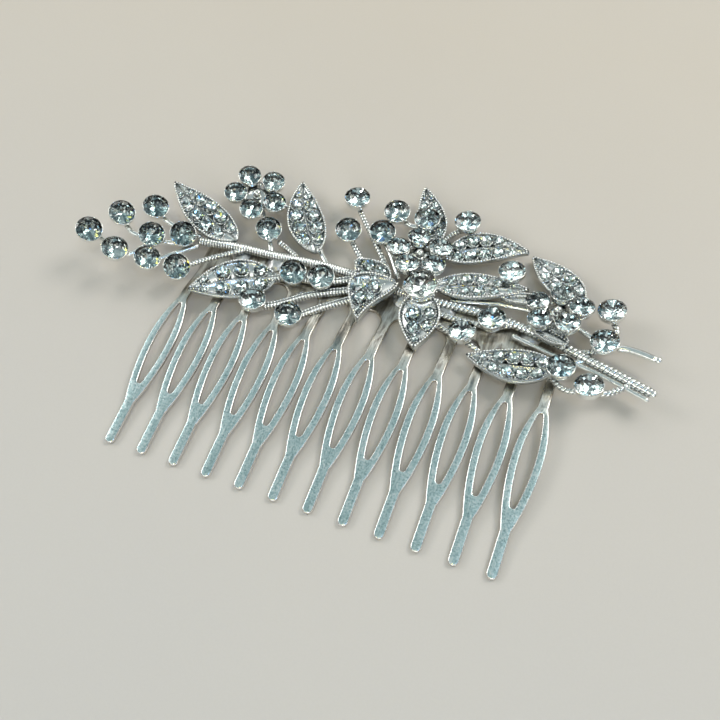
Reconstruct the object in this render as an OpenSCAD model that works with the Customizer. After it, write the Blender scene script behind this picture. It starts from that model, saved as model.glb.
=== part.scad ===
// Decorative hair comb: a stamped comb blank carrying a soldered spray of
// crystal-set cups, leaves and a flower.
// Millimetres, +Z up, +X along the spine, teeth pointing along -Y.
// Origin: centre of the spine's back face.

/* [Comb blank] */
// Number of teeth
tooth_count = 12; // [8:1:12]
// Distance from one tooth to the next
tooth_pitch = 5.9; // [5.6:0.1:6.4]
// Thickness of the stamped sheet
sheet_t = 0.8; // [0.6:0.1:1.2]
// Height of the spine from its lower edge to its upper edge
spine_h = 5; // [4.4:0.1:5.6]
// Width of the straight finger at the end of each tooth
finger_w = 1.75; // [1.4:0.05:2]
// Distance from the spine's centre line to the tooth tips
reach = 40; // [38:0.5:44]
// Width across the two tines at their widest
eye_w = 5.1; // [4.6:0.1:5.2]
// Width of the slot between the two tines
slot_w = 2.4; // [2:0.1:2.6]
// Width of the neck that joins a tooth to the spine
neck_w = 1.8; // [1.6:0.1:2.2]
// How far the teeth bow up off the table between tip and spine
tooth_bow = 1.5; // [0.5:0.1:2.5]

/* [Stones] */
// Outside diameter of the cups for the large single stones
cup_d = 4.8; // [4.4:0.1:4.8]
// Height of those cups
cup_h = 2; // [1.6:0.1:2.4]
// Outside diameter of the cups in the five-stone florets
floret_cup_d = 4.3; // [3.9:0.1:4.3]
// Radius of the ring that a floret's five cups stand on
floret_r = 3.9; // [3.7:0.1:4.2]
// Outside diameter of the flower's centre cup
centre_cup_d = 5.9; // [5:0.1:6]
// Largest diameter of the small stones set in the leaves
pave_d = 2.6; // [2:0.1:2.7]

/* [Stems] */
// Diameter of the two milled main stems
main_d = 1.7; // [1.3:0.1:1.8]
// Diameter of the branch stems
branch_d = 1.1; // [0.8:0.1:1.3]
// Diameter of the three milled stems below the flower
lower_d = 1.5; // [1.1:0.1:1.6]
// Height of the main stems' axis above the table
stem_z = 1.5; // [1.4:0.1:1.8]
// How far the left end of the spray curves up
lift_left = 4; // [0:0.5:4]
// How far the right end of the spray curves up
lift_right = 2; // [0:0.5:3]

/* [Leaves] */
// Thickness of a leaf's floor
leaf_t = 0.5; // [0.4:0.1:0.7]
// Height of a leaf's raised rim, measured from its underside
leaf_rim_h = 1; // [0.8:0.1:1.2]
// Width of the raised rim
leaf_rim_w = 0.4; // [0.3:0.05:0.5]
// Height of the flower's petals, rim included
petal_h = 1.9; // [1.4:0.1:2.1]
// Height of the floor inside a petal, measured from its underside
petal_floor = 1.3; // [0.8:0.1:1.4]

/* [Hidden] */

metal = "silver";
metal_dark = "lightslategray";
gem = "lightsteelblue";

$fn = 32;

// The spray curves up towards both ends.
function lift(x) = lift_left * pow(max(0, -x - 18) / 34, 1.5)
                 + lift_right * pow(max(0, x - 18) / 30, 1.5);

// ---------- comb blank ----------

tip_y = -reach;
wide_y = tip_y + 19.5;      // widest point of the eye
shoulder_y = tip_y + 7.7;   // where the finger starts
crotch_y = tip_y + 11.2;    // lower end of the slot
slot_top_y = tip_y + 27.4;  // upper end of the slot
merge_y = tip_y + 28.4;     // where the tines have joined into the neck
arch_r = (tooth_pitch - neck_w) / 2;
arch_y = -spine_h / 2 - arch_r;
half_x = (tooth_count - 1) * tooth_pitch / 2 + neck_w / 2 + 0.2;

// Half-width of the tooth at a height y, as two arcs that meet at the widest point.
function ease(u) = 1 - u * u;
function tooth_hw(y) =
    y < wide_y
    ? finger_w / 2 + (eye_w - finger_w) / 2 * ease((wide_y - y) / (wide_y - shoulder_y))
    : neck_w / 2 + (eye_w - neck_w) / 2 * ease((y - wide_y) / (merge_y - wide_y));
function slot_hw(y) =
    y < wide_y
    ? 0.4 + (slot_w / 2 - 0.4) * ease((wide_y - y) / (wide_y - crotch_y))
    : 0.28 + (slot_w / 2 - 0.28) * ease((y - wide_y) / (slot_top_y - wide_y));

lower_n = 8;
upper_n = 7;
tip_n = 6;
// Left edge of one tooth, from the spine down to the tip.
edge_down = concat(
    [for (i = [0:upper_n - 1]) let (y = merge_y + (wide_y - merge_y) * i / upper_n) [-tooth_hw(y), y]],
    [for (i = [0:lower_n]) let (y = wide_y + (shoulder_y - wide_y) * i / lower_n) [-tooth_hw(y), y]],
    [for (i = [0:tip_n - 1]) let (a = 180 + 90 * i / tip_n)
        [finger_w / 2 * cos(a), tip_y + finger_w / 2 + finger_w / 2 * sin(a)]]);
function mirrored(p) = [for (i = [len(p) - 1:-1:0]) [-p[i][0], p[i][1]]];
edge = concat(edge_down, [[0, tip_y]], mirrored(edge_down));
function shifted(p, dx) = [for (q = p) [q[0] + dx, q[1]]];
function tooth_x(i) = (i - (tooth_count - 1) / 2) * tooth_pitch;
arch_n = 8;
function arch(i) = [for (k = [0:arch_n]) let (a = 180 - 180 * k / arch_n)
    [tooth_x(i) + tooth_pitch / 2 + arch_r * cos(a), arch_y + arch_r * sin(a)]];

blank_outline = concat(
    [[half_x, spine_h / 2 - 0.6], [half_x - 0.6, spine_h / 2],
     [-half_x + 0.6, spine_h / 2], [-half_x, spine_h / 2 - 0.6],
     [-half_x, -spine_h / 2 + 0.2], [-half_x + 0.2, -spine_h / 2 - 0.6]],
    [for (i = [0:tooth_count - 1]) each concat(shifted(edge, tooth_x(i)),
        i < tooth_count - 1 ? arch(i) : [])],
    [[half_x - 0.2, -spine_h / 2 - 0.6], [half_x, -spine_h / 2 + 0.2]]);

slot_n = 7;
slot_side = concat(
    [for (i = [0:slot_n - 1]) let (y = crotch_y + 0.25 + (wide_y - crotch_y - 0.25) * i / slot_n) [slot_hw(y), y]],
    [for (i = [0:slot_n]) let (y = wide_y + (slot_top_y - 0.28 - wide_y) * i / slot_n) [slot_hw(y), y]]);
slot_outline = concat([[0.25, crotch_y]], slot_side, [[0.14, slot_top_y]],
    mirrored(concat([[0.25, crotch_y]], slot_side, [[0.14, slot_top_y]])));

// Underside of the sheet seen from the side, as y and z.
side_line = [[tip_y - 1, -tooth_bow / 27.5], [tip_y, 0], [slot_top_y, tooth_bow],
    [slot_top_y + 2, tooth_bow], [slot_top_y + 3.4, tooth_bow * 0.86],
    [arch_y - 1.2, tooth_bow * 0.14], [arch_y + 0.2, 0], [spine_h / 2 + 1, 0]];

module sheet_side() {
    polygon(concat(side_line, [for (i = [len(side_line) - 1:-1:0]) side_line[i] + [0, sheet_t]]));
}

module comb_blank() {
    color(metal)
    intersection() {
        difference() {
            translate([0, 0, -1]) linear_extrude(6) polygon(blank_outline);
            for (i = [0:tooth_count - 1])
                translate([0, 0, -2]) linear_extrude(8) polygon(shifted(slot_outline, tooth_x(i)));
        }
        translate([-half_x - 2, 0, 0]) rotate([90, 0, 90]) linear_extrude(2 * half_x + 4) sheet_side();
    }
}

// ---------- settings for round stones ----------

// A seat is [x, y, lean towards +X in degrees, lean towards +Y in degrees].
module at_seat(s, z) {
    translate([s[0], s[1], z + lift(s[0])]) rotate([-s[3], s[2], 0]) children();
}

module cup(d, h) {
    r = d / 2;
    rotate_extrude($fn = 48) polygon([[0, 0], [r * 0.5, 0], [r * 0.86, h * 0.28], [r, h * 0.62], [r, h],
        [r - 0.22, h], [r - 0.22, h * 0.62], [r * 0.5, 0.32], [0, 0.32]]);
}

module round_stone(d, h) {
    r = d / 2 - 0.24;
    rotate_extrude($fn = 48) polygon([[0, 0.38], [r, h - 0.3], [r, h - 0.12],
        [r * 0.6, h + r * 0.3], [0, h + r * 0.3]]);
}

cup_z = 2;
left_spray = [[-53, -6.5, 25, -5], [-49.5, -1, 25, -5], [-44.5, 2.5, 20, 0], [-47, -8.5, 20, 5],
    [-42.5, -3, 20, -5], [-41, -8, 20, 5], [-37.5, -0.5, 20, -12], [-35.5, -7, 20, -15]];
left_singles = [[-23.5, 6, 12, -4], [-15.7, -1, 12, -6], [-10.5, -0.5, 8, -2],
    [-20, -9, 5, 10], [-13, -9.5, 8, 3]];
top_singles = [[-10.5, 17.5, 3, 4], [-9.6, 10.6, 8, -8], [-3.5, 12, 5, -6], [-2.5, 17, 4, -5],
    [10.5, 18.5, -4, 5], [3.3, 17, 0, 0]];
right_singles = [[21, 10.5, -8, 10], [38.8, 7.5, -12, 8], [39, 1.5, -12, 6], [33.5, -5, -10, 9],
    [38.5, -7.2, -12, 12]];
lower_right = [[20.4, 0.5, -6, 8], [16.4, -3.5, -8, 14]];

module cups(list) { color(metal) for (s = list) at_seat(s, cup_z) cup(cup_d, cup_h); }
module stones(list) { color(gem) for (s = list) at_seat(s, cup_z) round_stone(cup_d, cup_h); }

module left_spray_cups() { cups(left_spray); }
module left_spray_stones() { stones(left_spray); }
module left_single_cups() { cups(left_singles); }
module left_single_stones() { stones(left_singles); }
module top_single_cups() { cups(top_singles); }
module top_single_stones() { stones(top_singles); }
module right_single_cups() { cups(right_singles); }
module right_single_stones() { stones(right_singles); }
module lower_right_cups() { cups(lower_right); }
module lower_right_stones() { stones(lower_right); }

// ---------- five-stone florets ----------

// A floret is [x, y, lean X, lean Y, angle of its first cup].
left_floret = [-28.5, 12.3, 11, 0, -10];
top_floret = [4.5, 9.1, 0, 14, 38];
right_floret = [30.3, 5, -10, 16, 20];
floret_z = 2.6;

module floret_places(f) {
    at_seat(f, floret_z)
        for (k = [0:4]) rotate([0, 0, f[4] + 72 * k]) translate([floret_r, 0, 0]) children();
}
module floret_cups(f) {
    color(metal) {
        floret_places(f) cup(floret_cup_d, 1.9);
        at_seat(f, floret_z) {
            translate([0, 0, -0.5]) cylinder(d = 5.6, h = 0.7);
            translate([0, 0, 0.1]) cylinder(d = 1.5, h = 1.9);
        }
    }
}
module floret_stones(f) { color(gem) floret_places(f) round_stone(floret_cup_d, 1.9); }

module left_floret_cups() { floret_cups(left_floret); }
module left_floret_stones() { floret_stones(left_floret); }
module top_floret_cups() { floret_cups(top_floret); }
module top_floret_stones() { floret_stones(top_floret); }
module right_floret_cups() { floret_cups(right_floret); }
module right_floret_stones() { floret_stones(right_floret); }

// ---------- leaves ----------

// A leaf is [base x, base y, tip x, tip y, width, sideways bow, lean X, lean Y, underside z, stones a side].
leaf_upper_left = [-28.2, 2.5, -43.9, 9, 6.8, 0.5, 12, 0, 2.1, 5];
leaf_tall = [-13.5, 4.5, -22, 18.5, 7, 0.8, 8, 4, 2.1, 5];
leaf_lower_left = [-18.3, -2.2, -31.5, -10.8, 7.8, -0.8, 10, 0, 2.1, 4];
leaf_crest = [6.5, 13.5, 0.5, 24, 5.2, 0, 2, -4, 2.2, 5];
leaf_upper_right = [8.5, 10.6, 22.5, 16, 6.8, 1.7, -3, 5, 2.2, 5];
leaf_middle_right = [8.5, 4.5, 24.6, 8.3, 5.6, 0.3, -4, 6, 2.2, 5];
leaf_far_right = [34, 8.5, 23, 16.5, 6, 0, -8, 8, 1.3, 4];
leaf_lower_right = [33, -5, 18, -6.5, 6.8, 0.8, -8, 8, 2.1, 5];
petal_lower = [7.8, 1.9, 9.6, -8.5, 7.2, 0, 0, -6, 2.5, 2];
petal_left = [2.6, 2.6, -1.2, -6.8, 6.6, -3.1, 6, -2, 2.4, 2];
petal_upper = [1.2, 2.2, -5.8, 4.6, 6.4, 0.7, 6, 2, 2.1, 2];
small_leaf_a = [33.5, -0.5, 26, 2, 3.2, 0, -8, 8, 2.6, 0];
small_leaf_b = [26.5, 6.5, 20.5, 5, 2.4, 0, -6, 6, 3, 0];

function dir_of(f) = let (d = [f[2] - f[0], f[3] - f[1]]) d / norm(d);
function leaf_len(f) = norm([f[2] - f[0], f[3] - f[1]]);
// Half-width along the leaf: pointed at both ends, widest nearer the base.
function leaf_hw(w, t) = w / 2 * pow(sin(180 * pow(t, 0.78)), 0.8);
function bow_at(f, t) = f[5] * 4 * t * (1 - t);
leaf_n = 12;

// Outline in the leaf's own frame: +X from base to tip, shrunk by rim all round.
function leaf_outline(f, rim) = let (l = leaf_len(f), m = rim / l * 1.6)
    concat([for (i = [0:leaf_n]) let (t = m + (1 - 2 * m) * i / leaf_n)
            [l * t, bow_at(f, t) - max(0.05, leaf_hw(f[4], min(0.999, max(0.001, t))) - rim)]],
        [for (i = [leaf_n:-1:0]) let (t = m + (1 - 2 * m) * i / leaf_n)
            [l * t, bow_at(f, t) + max(0.05, leaf_hw(f[4], min(0.999, max(0.001, t))) - rim)]]);

module in_leaf(f) {
    d = dir_of(f);
    mx = (f[0] + f[2]) / 2;
    my = (f[1] + f[3]) / 2;
    translate([mx, my, f[8] + lift(mx)]) rotate([-f[7], f[6], 0])
        rotate([0, 0, atan2(d[1], d[0])]) translate([-leaf_len(f) / 2, 0, 0]) children();
}

module leaf(f) {
    l = leaf_len(f);
    color(metal) in_leaf(f) {
        difference() {
            linear_extrude(leaf_rim_h) polygon(leaf_outline(f, 0));
            translate([0, 0, leaf_t]) linear_extrude(leaf_rim_h) polygon(leaf_outline(f, leaf_rim_w));
        }
        translate([0, 0, leaf_t - 0.1]) linear_extrude(leaf_rim_h - leaf_t) polygon(concat(
            [for (i = [0:8]) let (t = 0.04 + 0.88 * i / 8) [l * t, bow_at(f, t) - 0.18]],
            [for (i = [8:-1:0]) let (t = 0.04 + 0.88 * i / 8) [l * t, bow_at(f, t) + 0.18]]));
    }
}

module flat_back_stone(d) {
    rotate_extrude($fn = 24) polygon([[0, 0], [d * 0.42, 0], [d / 2, 0.4], [d / 2, 0.5],
        [d * 0.3, 0.5 + d * 0.16], [0, 0.5 + d * 0.16]]);
}

module leaf_stones(f) {
    l = leaf_len(f);
    n = f[9];
    color(gem) in_leaf(f)
        for (side = [-1, 1], k = [0:n - 1])
            let (t = 0.17 + (side > 0 ? 0.03 : 0) + 0.63 * k / (n - 1),
                 room = leaf_hw(f[4], t) - leaf_rim_w - 0.2,
                 d = min(pave_d, room * 0.98, 0.63 * l / (n - 1) * 0.96))
                translate([l * t, bow_at(f, t) + side * (0.2 + room / 2), leaf_t]) flat_back_stone(d);
}

module petal_stones(f, list) {
    color(gem) in_leaf(f) for (p = list) translate([p[0], p[1], petal_floor]) flat_back_stone(p[2]);
}

module upper_left_leaf() { leaf(leaf_upper_left); }
module upper_left_leaf_stones() { leaf_stones(leaf_upper_left); }
module tall_leaf() { leaf(leaf_tall); }
module tall_leaf_stones() { leaf_stones(leaf_tall); }
module lower_left_leaf() { leaf(leaf_lower_left); }
module lower_left_leaf_stones() { leaf_stones(leaf_lower_left); }
module crest_leaf() { leaf(leaf_crest); }
module crest_leaf_stones() { leaf_stones(leaf_crest); }
module upper_right_leaf() { leaf(leaf_upper_right); }
module upper_right_leaf_stones() { leaf_stones(leaf_upper_right); }
module middle_right_leaf() { leaf(leaf_middle_right); }
module middle_right_leaf_stones() { leaf_stones(leaf_middle_right); }
module far_right_leaf() { leaf(leaf_far_right); }
module far_right_leaf_stones() { leaf_stones(leaf_far_right); }
module lower_right_leaf() { leaf(leaf_lower_right); }
module lower_right_leaf_stones() { leaf_stones(leaf_lower_right); }

// ---------- flower ----------

module petal(f) {
    color(metal) in_leaf(f) difference() {
        linear_extrude(petal_h) polygon(leaf_outline(f, 0));
        translate([0, 0, petal_floor]) linear_extrude(petal_h) polygon(leaf_outline(f, leaf_rim_w + 0.1));
    }
}
module flower_petal_lower() { petal(petal_lower); }
module flower_petal_lower_stones() {
    petal_stones(petal_lower, [[3.9, 1.7, 1.9], [4.5, -0.9, 2.6], [6.9, -0.6, 2.2], [6.2, 1.5, 1.7], [8.8, 0, 1.4]]);
}
module flower_petal_left() { petal(petal_left); }
module flower_petal_left_stones() {
    petal_stones(petal_left, [[5.1, -4.5, 2.7], [3.6, -2.2, 2.4], [6.8, -2.5, 2.5], [5.3, -1.3, 1.2], [8.5, -1.5, 1.1], [2.3, -3.5, 1.2]]);
}
module flower_petal_upper() { petal(petal_upper); }
module flower_petal_upper_stones() {
    petal_stones(petal_upper, [[4.9, -0.5, 2.4], [2.6, -0.9, 1.8], [6.6, 0.3, 1.2], [4.5, 1.7, 1.8]]);
}
flower_seat = [7.2, 1.8, -2, 6];
module flower_centre_cup() {
    color(metal) at_seat(flower_seat, 3.5) {
        cup(centre_cup_d, 2.5);
        translate([0, 0, -1.9]) cylinder(d = 3.4, h = 2);
    }
}
module flower_centre_stone() { color(gem) at_seat(flower_seat, 3.5) round_stone(centre_cup_d, 2.5); }
module small_beaded_leaves() { leaf(small_leaf_a); leaf(small_leaf_b); }

// ---------- stems ----------

// A stem's points are [x, y, height above the main stems' axis]. A smooth curve runs through them.
function lifted(p) = [p[0], p[1], stem_z + p[2] + lift(p[0])];
stem_sides = 10;
stem_steps = 2;
function point_at(p, i) = p[max(0, min(len(p) - 1, i))];
function curve_at(p, i, u) = let (a = point_at(p, i - 1), b = point_at(p, i), c = point_at(p, i + 1), e = point_at(p, i + 2))
    0.5 * (2 * b + (c - a) * u + (2 * a - 5 * b + 4 * c - e) * u * u + (3 * b - a - 3 * c + e) * u * u * u);
function curve(p) = concat([for (i = [0:len(p) - 2], k = [0:stem_steps - 1]) curve_at(p, i, k / stem_steps)], [p[len(p) - 1]]);
function unit(v) = v / norm(v);
function ring(c, i, d) = let (t = unit(point_at(c, i + 1) - point_at(c, i - 1)), u = unit(cross([0, 0, 1], t)), w = cross(t, u))
    [for (k = [0:stem_sides - 1]) let (a = 360 * (k + 0.5) / stem_sides) c[i] + d / 2 * (cos(a) * u + sin(a) * w)];
module stem(points, d) {
    c = curve([for (p = points) lifted(p)]);
    m = len(c);
    n = stem_sides;
    polyhedron(
        points = concat([for (i = [0:m - 1]) each ring(c, i, d)], [c[0], c[m - 1]]),
        faces = concat(
            [for (i = [0:m - 2], k = [0:n - 1]) [i * n + k, i * n + (k + 1) % n, (i + 1) * n + k]],
            [for (i = [0:m - 2], k = [0:n - 1]) [i * n + (k + 1) % n, (i + 1) * n + (k + 1) % n, (i + 1) * n + k]],
            [for (k = [0:n - 1]) [m * n, (k + 1) % n, k]],
            [for (k = [0:n - 1]) [m * n + 1, (m - 1) * n + k, (m - 1) * n + (k + 1) % n]]));
}

module main_stem_left() {
    color(metal) stem([[-35, 0, 0], [-31, 1, 0], [-27.5, 1.6, 0], [-20, 2.3, 0], [-12.5, 3, 0],
        [-6, 3, 0], [0, 2.6, 0], [6, 2, 0]], main_d);
}
module main_stem_right() {
    color(metal) stem([[8, 2, 0], [14, 2.4, 0], [20, 2.4, 0], [26, 1.6, 0.1], [32, 0.2, 0.2],
        [39, -1.8, 0.2], [48, -4.5, 0.2]], main_d);
}
module under_wire_right() {
    color(metal_dark) stem([[24, -0.2, 0], [31, -1.7, 0], [39, -3.2, 0], [47.5, -5.8, 0]], 0.9);
}
module left_spray_stems() {
    color(metal) {
        stem([[-53, -6.5, 0.2], [-50.5, -6.4, 0], [-48.1, -7.6, 0.1]], branch_d);
        stem([[-49.5, -1, 0.2], [-46.5, -3, 0], [-42.5, -3, 0.2], [-38.5, -2, 0], [-36, -0.3, 0]], branch_d);
        stem([[-46.8, -8.6, 0.2], [-44.5, -7, 0], [-43, -4.5, 0.1]], branch_d);
        stem([[-44.5, 2.5, 0.2], [-41.5, 1.6, 0], [-37.8, 0.8, 0.1], [-34.6, 1.1, 0]], branch_d);
        stem([[-41, -8, 0.2], [-38.5, -5, 0], [-34.4, -0.9, 0]], branch_d);
    }
}
module left_branch_stems() {
    color(metal) {
        stem([[-35.5, -7, 0.2], [-33.5, -4.5, 0], [-30, -1.5, 0], [-26, 1.6, 0]], branch_d);
        stem([[-28.5, 12.3, 0.3], [-25.8, 9.2, 0.1], [-23.5, 6, 0.2], [-21.5, 2.4, 0]], branch_d);
        stem([[-26.8, 13, 0.2], [-24.5, 13, 0.1], [-21, 12.5, 0.1]], branch_d);
        stem([[-21.4, 5.2, 0.1], [-19.5, 4.6, 0], [-16, 2.9, 0]], branch_d);
        stem([[-14.5, 7.5, 0.2], [-12.5, 5, 0], [-10.5, 3, 0]], branch_d);
    }
}
module lower_branch_stems() {
    color(metal) {
        stem([[-20, -9, 0.2], [-16.5, -7.2, 0], [-11.5, -3.5, 0], [-6.5, -1, 0], [-3, 0.4, 0]], lower_d);
        stem([[-13, -9.5, 0.2], [-9, -5.6, 0], [-5, -2.6, 0], [0, 1, 0]], lower_d);
        stem([[-20, -3, 0.2], [-15.5, -1, 0.2], [-10.5, -0.5, 0.2], [-5.6, 1.9, 0]], lower_d);
    }
}
module top_branch_stems() {
    color(metal) {
        stem([[-10.5, 17.5, 0.2], [-7, 13.5, 0], [-3, 9, 0], [0, 5.4, 0]], branch_d);
        stem([[-9.6, 10.6, 0.2], [-5.8, 6.7, 0], [-2.5, 3.8, 0]], branch_d);
        stem([[-3.5, 12, 0.2], [-0.5, 8.5, 0], [2.2, 4.6, 0]], branch_d);
        stem([[-2.5, 17, 0.2], [0.5, 16.2, 0], [3.5, 15.6, 0.2], [4.4, 9, 0.2], [5, 3.4, 0]], branch_d);
        stem([[10.5, 18.5, 0.2], [8, 16.4, 0], [6.6, 12, 0.1], [7, 5, 0]], branch_d);
        stem([[21, 10.5, 0.2], [20, 7.5, 0], [17, 6, 0.2], [12, 4, 0]], branch_d);
    }
}
module right_branch_stems() {
    color(metal) {
        stem([[38.8, 7.5, 0.2], [40.2, 5, 0], [39, 1.5, 0.2], [36, 0, 0], [33, -0.2, 0]], branch_d);
        stem([[31.6, 4.9, 0.15], [34.5, 4, 0.1], [37.6, 2.5, 0.1]], branch_d);
        stem([[40.8, 2.1, 0.1], [43, 2.4, 0.2], [47.3, 1.6, 0.3]], 1.4);
        stem([[29.9, 4.8, 0.25], [26.5, 5.4, 0.1], [20, 5, 0.1], [12, 3, 0]], branch_d);
    }
}
module lower_right_stems() {
    color(metal) {
        stem([[10, 0.2, 0], [14, 0, 0], [20.2, 0.3, 0.2], [24, 2, 0]], branch_d);
        stem([[10, -1.4, 0], [13, -2.6, 0], [16.4, -3.5, 0.2], [20, -5, 0.1]], branch_d);
        stem([[33.5, -5, 0.2], [35, -2.5, 0], [37, -1.2, 0]], branch_d);
        stem([[31, -5, 0.2], [34.5, -7.5, 0.1], [38, -7, 0.2], [41.5, -6.2, 0.1], [44.5, -3.6, 0.1]], branch_d);
    }
}

// Solder fillets along the spine, one under each place where a stem crosses it.
module solder_joints() {
    color(metal_dark) for (p = [[-27, 0.8], [-20, 1.2], [-12, 1.4], [-4, 1.6], [4, 1.4], [12, 1.6], [20, 1.4], [27, 0.8]])
        translate([p[0], p[1], sheet_t]) rotate_extrude($fn = 32)
            polygon([[0, 0], [1.9, 0], [1.5, 0.25], [1.1, 0.55], [0.6, 0.7], [0, 0.7]]);
}

comb_blank();
solder_joints();
main_stem_left();
main_stem_right();
under_wire_right();
left_spray_stems();
left_branch_stems();
lower_branch_stems();
top_branch_stems();
right_branch_stems();
lower_right_stems();
left_spray_cups();
left_spray_stones();
left_single_cups();
left_single_stones();
top_single_cups();
top_single_stones();
right_single_cups();
right_single_stones();
lower_right_cups();
lower_right_stones();
left_floret_cups();
left_floret_stones();
top_floret_cups();
top_floret_stones();
right_floret_cups();
right_floret_stones();
upper_left_leaf();
upper_left_leaf_stones();
tall_leaf();
tall_leaf_stones();
lower_left_leaf();
lower_left_leaf_stones();
crest_leaf();
crest_leaf_stones();
upper_right_leaf();
upper_right_leaf_stones();
middle_right_leaf();
middle_right_leaf_stones();
far_right_leaf();
far_right_leaf_stones();
lower_right_leaf();
lower_right_leaf_stones();
flower_petal_lower();
flower_petal_lower_stones();
flower_petal_left();
flower_petal_left_stones();
flower_petal_upper();
flower_petal_upper_stones();
flower_centre_cup();
flower_centre_stone();
small_beaded_leaves();
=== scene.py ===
import math
import random

import bpy
import bmesh
from mathutils import Matrix, Vector


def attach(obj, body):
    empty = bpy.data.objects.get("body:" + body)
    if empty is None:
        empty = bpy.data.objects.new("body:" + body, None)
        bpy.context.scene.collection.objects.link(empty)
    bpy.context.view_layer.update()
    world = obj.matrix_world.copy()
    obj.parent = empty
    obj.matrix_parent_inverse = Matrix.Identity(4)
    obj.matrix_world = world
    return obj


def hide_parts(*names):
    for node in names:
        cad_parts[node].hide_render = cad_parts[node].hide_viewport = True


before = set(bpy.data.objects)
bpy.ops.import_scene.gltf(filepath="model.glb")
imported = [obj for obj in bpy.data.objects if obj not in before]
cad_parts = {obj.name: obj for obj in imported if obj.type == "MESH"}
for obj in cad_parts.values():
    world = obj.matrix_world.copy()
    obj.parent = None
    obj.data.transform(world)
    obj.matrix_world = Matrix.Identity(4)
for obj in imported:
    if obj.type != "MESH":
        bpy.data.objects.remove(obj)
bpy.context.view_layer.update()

rng = random.Random(20817)
MM = 0.001

# =====================================================================
# camera (made first)
# =====================================================================
scene = bpy.context.scene
RIGHT = Vector((0.9312, 0.3578, -0.0696)).normalized()
FORWARD = Vector((-0.2256, 0.4159, -0.881))
FORWARD = (FORWARD - RIGHT * FORWARD.dot(RIGHT)).normalized()
UP = RIGHT.cross(FORWARD)
cam_data = bpy.data.cameras.new("camera")
cam = bpy.data.objects.new("camera", cam_data)
scene.collection.objects.link(cam)
m = Matrix((RIGHT, UP, -FORWARD)).transposed().to_4x4()
m.translation = Vector((0.03264, -0.06999, 0.12288))
cam.matrix_world = m
cam_data.lens = 41.1
cam_data.sensor_width = 36.0
cam_data.clip_start = 0.002
cam_data.clip_end = 10.0
scene.camera = cam
scene.view_settings.view_transform = "Standard"
scene.view_settings.look = "None"


# =====================================================================
# node helpers
# =====================================================================
def new_mat(name):
    mat = bpy.data.materials.new(name)
    mat.use_nodes = True
    nt = mat.node_tree
    nt.nodes.clear()
    out = nt.nodes.new("ShaderNodeOutputMaterial")
    bsdf = nt.nodes.new("ShaderNodeBsdfPrincipled")
    nt.links.new(bsdf.outputs["BSDF"], out.inputs["Surface"])
    return mat, nt, bsdf


def noise(nt, coord, scale, detail=3.0, rough=0.55):
    n = nt.nodes.new("ShaderNodeTexNoise")
    n.inputs["Scale"].default_value = scale
    n.inputs["Detail"].default_value = detail
    n.inputs["Roughness"].default_value = rough
    nt.links.new(coord, n.inputs["Vector"])
    return n.outputs["Fac"]


def ramp(nt, fac, stops, interpolation="LINEAR"):
    r = nt.nodes.new("ShaderNodeValToRGB")
    r.color_ramp.interpolation = interpolation
    els = r.color_ramp.elements
    while len(els) > len(stops):
        els.remove(els[-1])
    while len(els) < len(stops):
        els.new(0.5)
    for e, (p, c) in zip(els, stops):
        e.position = p
        e.color = (*c, 1.0) if len(c) == 3 else c
    nt.links.new(fac, r.inputs["Fac"])
    return r.outputs["Color"]


def remap(nt, fac, a, b, c, d):
    n = nt.nodes.new("ShaderNodeMapRange")
    n.inputs["From Min"].default_value = a
    n.inputs["From Max"].default_value = b
    n.inputs["To Min"].default_value = c
    n.inputs["To Max"].default_value = d
    nt.links.new(fac, n.inputs["Value"])
    return n.outputs["Result"]


def math_node(nt, op, a, b=None):
    n = nt.nodes.new("ShaderNodeMath")
    n.operation = op
    for i, v in enumerate((a, b)):
        if v is None:
            continue
        if isinstance(v, (int, float)):
            n.inputs[i].default_value = v
        else:
            nt.links.new(v, n.inputs[i])
    return n.outputs["Value"]


def mix_rgb(nt, fac, a, b, mode="MIX"):
    n = nt.nodes.new("ShaderNodeMix")
    n.data_type = "RGBA"
    n.blend_type = mode
    for sock, v in ((n.inputs["Factor"], fac), (n.inputs["A"], a), (n.inputs["B"], b)):
        pass
    ins = {"f": n.inputs[0], "a": n.inputs[6], "b": n.inputs[7]}
    for key, v in (("f", fac), ("a", a), ("b", b)):
        if isinstance(v, (int, float)):
            ins[key].default_value = v
        elif isinstance(v, tuple):
            ins[key].default_value = (*v, 1.0)
        else:
            nt.links.new(v, ins[key])
    return n.outputs[2]


def bump(nt, bsdf, height, distance, strength=1.0, prev=None):
    n = nt.nodes.new("ShaderNodeBump")
    n.inputs["Distance"].default_value = distance
    n.inputs["Strength"].default_value = strength
    nt.links.new(height, n.inputs["Height"])
    if prev is not None:
        nt.links.new(prev, n.inputs["Normal"])
    nt.links.new(n.outputs["Normal"], bsdf.inputs["Normal"])
    return n.outputs["Normal"]


def obj_coord(nt):
    return nt.nodes.new("ShaderNodeTexCoord").outputs["Object"]


# =====================================================================
# materials
# =====================================================================
def painted_crevice_shade(nt, distance):
    """Ambient occlusion: 1 in the open, towards 0 deep between pieces. It masks painted shade in crevices."""
    ao = nt.nodes.new("ShaderNodeAmbientOcclusion")
    ao.samples = 6
    ao.inputs["Distance"].default_value = distance
    return ao.outputs["AO"]


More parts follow.
